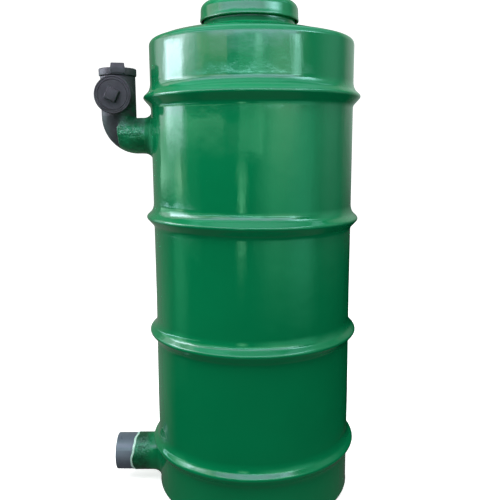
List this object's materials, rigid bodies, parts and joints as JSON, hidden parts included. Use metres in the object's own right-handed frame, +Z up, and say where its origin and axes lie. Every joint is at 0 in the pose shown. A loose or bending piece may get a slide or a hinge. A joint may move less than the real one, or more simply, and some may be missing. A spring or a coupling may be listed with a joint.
{
  "type": "small upright biogas digester",
  "caption": "Upright ribbed glass-fibre digester tank with a lift-off lid, a bent inlet riser with screwed cleaning plugs, and a pipe spigot near its foot.",
  "frame": {"origin": "on the floor, on the tank's axis, in the plane of its flat base", "axes": "+Z up the tank's axis; both pipes leave the tank towards -X; the side plug faces -Y"},
  "size_m": [0.736, 0.609, 1.412],
  "materials": {
    "green_gelcoat": "glossy gel-coat over glass-fibre laminate, slightly wavy",
    "black_plastic": "satin moulded drain fitting with faint overspray",
    "grey_pipe": "satin extruded pipe",
    "pale_resin": "pale uneven edge of the coat, glossy"
  },
  "bodies": {
    "tank": {"base": "green_gelcoat", "foot_course_left": "green_gelcoat", "foot_course_right": "green_gelcoat", "wall_course_1_left": "green_gelcoat", "wall_course_1_right": "green_gelcoat", "wall_course_2_left": "green_gelcoat", "wall_course_2_right": "green_gelcoat", "wall_course_3_left": "green_gelcoat", "wall_course_3_right": "green_gelcoat", "wall_course_4_left": "green_gelcoat", "wall_course_4_right": "green_gelcoat", "rib_2_left": "green_gelcoat", "rib_2_right": "green_gelcoat", "rib_3_left": "green_gelcoat", "rib_3_right": "green_gelcoat", "rib_4_left": "green_gelcoat", "rib_4_right": "green_gelcoat", "top_cover": "green_gelcoat", "manhole_neck": "green_gelcoat", "inlet_pipe": "green_gelcoat", "inlet_collar": "green_gelcoat", "inlet_elbow": "black_plastic", "riser_tee": "black_plastic", "outlet_pipe": "grey_pipe", "outlet_collar": "green_gelcoat", "outlet_sleeve": "green_gelcoat", "outlet_bead": "pale_resin"},
    "lid": {"lid": "green_gelcoat"},
    "top_plug": {"top_plug": "black_plastic"},
    "side_plug": {"side_plug": "black_plastic"}
  },
  "joints": [
    {"name": "lid_lift", "type": "slide", "parent": "tank", "child": "lid", "axis": [0, 0, 1], "range_m": [0, 0.12]},
    {"name": "top_plug_lift", "type": "slide", "parent": "tank", "child": "top_plug", "axis": [0, 0, 1], "range_m": [0, 0.06]},
    {"name": "side_plug_pull", "type": "slide", "parent": "tank", "child": "side_plug", "axis": [0, -1, 0], "range_m": [0, 0.06]}
  ]
}
